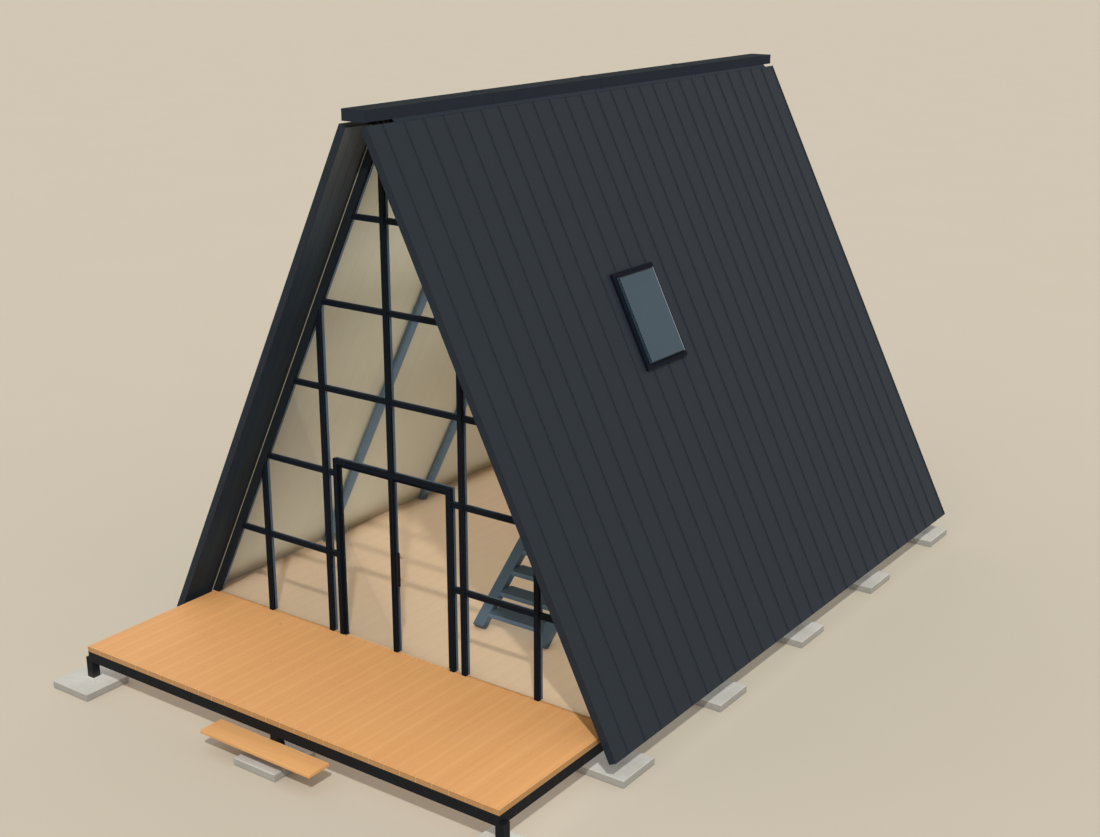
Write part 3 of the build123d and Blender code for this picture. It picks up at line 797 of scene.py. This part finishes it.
rivet = opened("cap_rivet")
pick(upward)
bpy.ops.mesh.inset(thickness=crown_in)
bpy.ops.transform.translate(value=(0, 0, crown_up))
closed(rivet, cap_coat)
cap_joints = []
for joint in range(1, cap_lengths):
    y = cap_low.y + joint * (cap_high.y - cap_low.y) / cap_lengths
    cap_joints.append(copied(sleeve, (0, y, 0)))
    for side in (-1, 1):
        x = side * (cap_high.x + sleeve_proud)
        for shift in (-rivet_reach, rivet_reach):
            for level in (-rivet_rise, rivet_rise):
                head = copied(rivet)
                head.location = (x, y + shift, cap_mid + level)
                head.rotation_euler = (0, side * math.pi / 2, 0)
                head.select_set(True)
                bpy.context.view_layer.objects.active = head
                bpy.ops.object.transform_apply(location=True, rotation=True)
                head.select_set(False)
                cap_joints.append(head)
bpy.data.objects.remove(sleeve)
bpy.data.objects.remove(rivet)
cap_sleeves = united(cap_joints, "cap_sleeves")
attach(cap_sleeves, "cabin")
house_mid = 1.0
house_long = 8.0
closure_lap = 0.012
closure_thick = 0.002
closure_round = 0.0006
closures = []
for side in (-1, 1):
    tray_x, tray_z = on_slope(side, slope_top, sheet_out)
    across = abs(tray_x) - cap_high.x
    drop = cap_low.z - tray_z
    middle = ((tray_x + side * cap_high.x) / 2, house_mid, (tray_z + cap_low.z) / 2)
    size = (math.hypot(across, drop) + closure_lap, house_long, closure_thick)
    closure = block("ridge_closure", middle, size, side * math.atan2(drop, across))
    rounded(closure_round)
    closures.append(closed(closure, edge_metal))
ridge_closures = united(closures, "ridge_closures")
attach(ridge_closures, "cabin")


# Front glazing bars. Box sections of dark powder-coated aluminium: raking frames along
# both slopes, uprights and rails on a one metre grid, and the frame of the double door.
cap_back = -3.002
bar_tones = (mixed(14, 21, 30), mixed(19, 25, 34))
# Painted light: the raking frames take lighter tones than the other bars, against the shade of
# the overhang.
rake_lit_tones = (mixed(30, 35, 40), mixed(34, 39, 43))
# The lighter blue grey of these coats is a painted sky reflection on the bars' side and top
# faces.
satin = {"rough": 0.5, "sky_sheen": (mixed(90, 107, 123), cap_back), "gloss": 0.05}
bar_coat = coated("bar_coat", *bar_tones, **satin)
jamb_coat = coated("jamb_coat", *bar_tones, jamb=True, **satin)
rake_coat = coated("rake_coat", *rake_lit_tones, **satin)
bar_coat.dress("gable_mullions", "gable_transoms", "door_header")
jamb_coat.dress("door_jambs")
rake_coat.dress("left_raking_frame", "right_raking_frame")
for leaf in ("left", "right"):
    leaf_frame = smoothed(leaf + "_door_frame", bar_coat, leaf + "_leaf")
stem_front = -3.052
pull_coat = Finish("pull_coat", Specular_IOR_Level=0.14)
rubbed = pull_coat.joined(pull_coat.x, pull_coat.y, pull_coat.z * 0.2)
rubbed = pull_coat.cloud(rubbed, 40.0)
stem = pull_coat.y > stem_front
pull_coat.surface(
    Base_Color=pull_coat.blend(
        stem,
        pull_coat.blend(rubbed, mixed(13, 13, 17), mixed(21, 21, 26)),
        pull_coat.blend(rubbed, mixed(182, 156, 126), mixed(192, 166, 136)),
    ),
    Metallic=stem * 0.3,
    Roughness=pull_coat.ramp(rubbed, 0.3, 0.7, 0.36, 0.5),
    Normal=pull_coat.relief(pull_coat.cloud(pull_coat.place, 900.0), 0.0002, 0.5),
)
pull = smoothed("door_handle", pull_coat, "right_leaf")


# Door pivots. Short stainless pins on floor plates and under the header, brushed along
# their length and a little dull.
pivot_steel = Finish("pivot_steel", Metallic=1.0)
brushing = pivot_steel.joined(pivot_steel.x, pivot_steel.y, pivot_steel.z * 0.05)
brushing = pivot_steel.cloud(brushing, 900.0, 3.0, 0.6)
pivot_steel.surface(
    Base_Color=pivot_steel.blend(brushing, mixed(168, 168, 166), mixed(202, 201, 198)),
    Roughness=pivot_steel.ramp(brushing, 0.3, 0.7, 0.22, 0.4),
    Normal=pivot_steel.relief(brushing, 0.0001, 0.5),
)
pivots = smoothed("door_pivots", pivot_steel)


# Panes. Double glazing fills the gable and single toughened sheets fill the door leaves.
# The glass carries a faint milky blue cast and a little dust in soft patches.
def glazed(name, tint, cover, dusty):
    """Clear glass with a pale cast; cover is how much of what lies behind is veiled."""
    glass = Finish(name, Base_Color=tint, Roughness=0.04, Specular_IOR_Level=0.5)
    haze = glass.cloud(glass.place, 1.6, 4.0, 0.6)
    spots = glass.cloud(glass.place, 90.0, 3.0, 0.6)
    graze = glass.add("ShaderNodeFresnel", IOR=1.35)
    veil = graze * 0.24 + glass.ramp(haze, 0.4, 0.8, 0.0, dusty)
    glass.surface(
        Alpha=veil + cover,
        Roughness=glass.ramp(haze + spots * 0.3, 0.4, 0.95, 0.03, 0.09),
    )
    return glass


clear_glass = glazed("clear_glass", mixed(50, 66, 80), 0.02, 0.012)
clear_glass.dress(
    "lower_gable_glass", "upper_gable_glass", "left_door_glass", "right_door_glass"
)


# Glazing seals. Black rubber strips lie round every pane on both of its faces and hold
# it in the bars.
rubber = Finish("seal_rubber", Specular_IOR_Level=0.1)
bloom = rubber.cloud(rubber.place, 40.0, 3.0)
rubber.surface(
    Base_Color=rubber.blend(bloom, mixed(34, 36, 38), mixed(48, 50, 52)),
    Roughness=rubber.ramp(bloom, 0.3, 0.7, 0.6, 0.8),
    Normal=rubber.relief(rubber.cloud(rubber.place, 600.0), 0.0003, 0.5),
)
seal_foot = deck_top + 0.03


def sealed(name, flat, width, proud, body="cabin", finish=rubber):
    """Rubber strips along the border of each broad face of a pane, but not on the floor.
    Flat is the direction that the broad faces look in."""
    strip = merged(name, "_seal")
    bpy.ops.mesh.dissolve_limited(angle_limit=math.radians(1))
    pick(lambda face: abs(face.normal.dot(flat)) > 0.9)
    bpy.ops.mesh.inset(thickness=width, use_even_offset=True)
    bpy.ops.mesh.delete(type="FACE")
    pick(lambda face: abs(face.normal.dot(flat)) < 0.9)
    bpy.ops.mesh.delete(type="FACE")
    pick(lambda face: max(corner.co.z for corner in face.verts) < seal_foot)
    bpy.ops.mesh.delete(type="FACE")
    closed(strip, finish)
    thickened(strip, proud, 1)
    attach(strip, body)


forward = Vector((0, 1, 0))
seal_wide = 0.005
sealed("lower_gable_glass", forward, seal_wide, 0.002)
sealed("upper_gable_glass", forward, seal_wide, 0.002)
sealed("left_door_glass", forward, seal_wide, 0.004, "left_leaf")
sealed("right_door_glass", forward, seal_wide, 0.004, "right_leaf")


# Roof light. A deep coated kerb goes through the roof and carries one glass unit, which
# lies on a rubber seal. A flat apron of painted steel closes the skin round the kerb.
kerb_coat = coated("kerb_coat", mixed(17, 22, 31), mixed(22, 27, 36), 0.62, gloss=0.05)
kerb_coat.dress("skylight_frame")
# The roof glass is a deep blue grey that hides most of the room behind it: partly a tinted
# glass, partly painted shade for the dark shaft below.
roof_glass = glazed("roof_glass", mixed(54, 74, 88), 0.84, 0.04)
roof_glass.dress("skylight_glass")
bead_wide = 0.012
bead = Finish("roof_bead", Specular_IOR_Level=0.1)
crust = bead.cloud(bead.place, 60.0, 3.0)
# Painted highlight: the bead along the rear edge of the pane is pale grey.
behind = bead.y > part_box("skylight_glass")[1][1] - bead_wide - 0.0005
bead.surface(
    Base_Color=bead.blend(
        behind,
        bead.blend(crust, mixed(30, 32, 35), mixed(42, 44, 47)),
        bead.blend(crust, mixed(120, 130, 138), mixed(136, 146, 152)),
    ),
    Roughness=bead.ramp(crust, 0.3, 0.7, 0.55, 0.75),
    Normal=bead.relief(bead.cloud(bead.place, 600.0), 0.0003, 0.5),
)
sealed("skylight_glass", Vector((2, 0, 1)).normalized(), bead_wide, 0.003, finish=bead)
light_mid = 2.813
light_y = -0.002
kerb_long = 1.196
kerb_wide = 0.868
apron_wide = 0.03
apron_thick = 0.003
apron_size = (kerb_long + 2 * apron_wide, kerb_wide + 2 * apron_wide, apron_thick)
apron = block("light_apron", (0, 0, 0), apron_size)
pick(upward)
bpy.ops.mesh.inset(thickness=apron_wide)
bpy.ops.mesh.delete(type="FACE")
pick(downward)
bpy.ops.mesh.inset(thickness=apron_wide)
bpy.ops.mesh.delete(type="FACE")
bpy.ops.object.mode_set(mode="OBJECT")
x, z = on_slope(1, light_mid, sheet_out + apron_thick / 2)
apron.location = (x, light_y, z)
apron.rotation_euler = (0, slope_turn, 0)
closed(apron, roof_metal)
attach(apron, "cabin")


# Ground, light and view. The cabin stands on a plain pale floor under a soft sky, with one
# lamp high at the front right. Wide unseen lamps brighten the room and the space below it.
# The view is from the front right and above.
floor_radius = 400.0
bpy.ops.mesh.primitive_circle_add(vertices=64, radius=floor_radius, fill_type="NGON")
floor = bpy.context.object
floor.name = "floor"
floor_paint = Finish("floor_paint", Roughness=0.95, Specular_IOR_Level=0.1)
tint = floor_paint.cloud(floor_paint.place, 0.4, 3.0)
floor_paint.surface(
    Base_Color=floor_paint.blend(tint, mixed(196, 186, 167), mixed(199, 189, 171))
)
floor.data.materials.append(floor_paint.material)
floor.select_set(False)

sun_way = Vector((-0.58, 0.705, -1.0))
sun = bpy.data.objects.new("front_lamp", bpy.data.lights.new("front_lamp", "SUN"))
sun.data.energy = 2.0
sun.data.angle = math.radians(2.2)
sun.rotation_euler = sun_way.to_track_quat("-Z", "Y").to_euler()
bpy.context.collection.objects.link(sun)


def gathered(name, *members):
    """A group of CAD nodes that a lamp lights, or that cast its shadows."""
    group = bpy.data.collections.new(name)
    for member in members:
        group.objects.link(nodes[member])
    return group


floor_only = gathered("floor_only", "cabin_floor", "sole_plates")
linings = ("left_lining", "right_lining", "rear_lining", "loft_beams", "loft_floor")
room_only = gathered("room_only", *linings, "stair_stringers", "stair_treads")
room_only.objects.link(tubes)
shading = gathered("shading", *(name for name in nodes if name != "a_frame_tubes"))


def soft_lamp(name, place, wide, long, power, turn=0.0):
    """Add a wide lamp that lights but doesn't show, turned about x from looking down."""
    lamp = bpy.data.objects.new(name, bpy.data.lights.new(name, "AREA"))
    lamp.data.shape = "RECTANGLE"
    lamp.data.size = wide
    lamp.data.size_y = long
    lamp.data.energy = power
    lamp.data.color = (0.9, 0.96, 1.0)
    lamp.location = place
    lamp.rotation_euler = (turn, 0.0, 0.0)
    lamp.visible_camera = False
    lamp.visible_glossy = False
    bpy.context.collection.objects.link(lamp)
    return lamp


for level, wide, long, y, turn, power, lit in (
    (0.56, 5.7, 3.0, -1.45, math.pi, 44.0, None),
    (0.56, 5.7, 3.4, 1.75, math.pi, 27.0, None),
    (0.6, 5.8, 7.8, 0.9, 0.0, 70.0, floor_only),
    (2.6, 0.6, 3.6, -1.1, math.pi, 18.0, None),
    (4.2, 0.3, 2.4, -1.7, math.pi, 11.0, None),
    (1.7, 2.6, 2.2, -2.9, math.pi / 2, 17.0, room_only),
):
    fill = soft_lamp("room_fill", (0.0, y, level), wide, long, power, turn)
    fill.light_linking.receiver_collection = lit
    fill.light_linking.blocker_collection = shading
soft_lamp("under_fill", (0.0, 0.0, 0.3), wide=6.4, long=10.0, power=78.0)

world = bpy.data.worlds.new("sky")
bpy.context.scene.world = world
world.use_nodes = True
sky = Recipe(world.node_tree)
sky.tree.nodes.clear()
glow = sky.add("ShaderNodeBackground", Color=(1.0, 1.0, 1.0, 1.0), Strength=0.66)
backdrop = sky.add("ShaderNodeBackground", Color=mixed(216, 212, 202))
seen = 0.0
for kind in ("Is Camera Ray", "Is Transmission Ray", "Is Glossy Ray"):
    ray = sky.add("ShaderNodeLightPath", out=kind)
    seen = ray.worked("MAXIMUM", seen, ray)
shown = sky.add("ShaderNodeMixShader", Fac=seen, Shader=glow, Shader_001=backdrop)
sky.add("ShaderNodeOutputWorld", out=None, Surface=shown)
bpy.context.scene.view_settings.view_transform = "Standard"

look_down = 0.308
look_left = 0.6227
camera = bpy.data.objects.new("front_right", bpy.data.cameras.new("front_right"))
camera.data.lens = 50.86
camera.data.sensor_width = 36.0
camera.data.clip_end = 1000.0
camera.location = (10.887, -15.162, 8.468)
camera.rotation_euler = (math.pi / 2 - look_down, 0.0, look_left)
bpy.context.collection.objects.link(camera)
bpy.context.scene.camera = camera
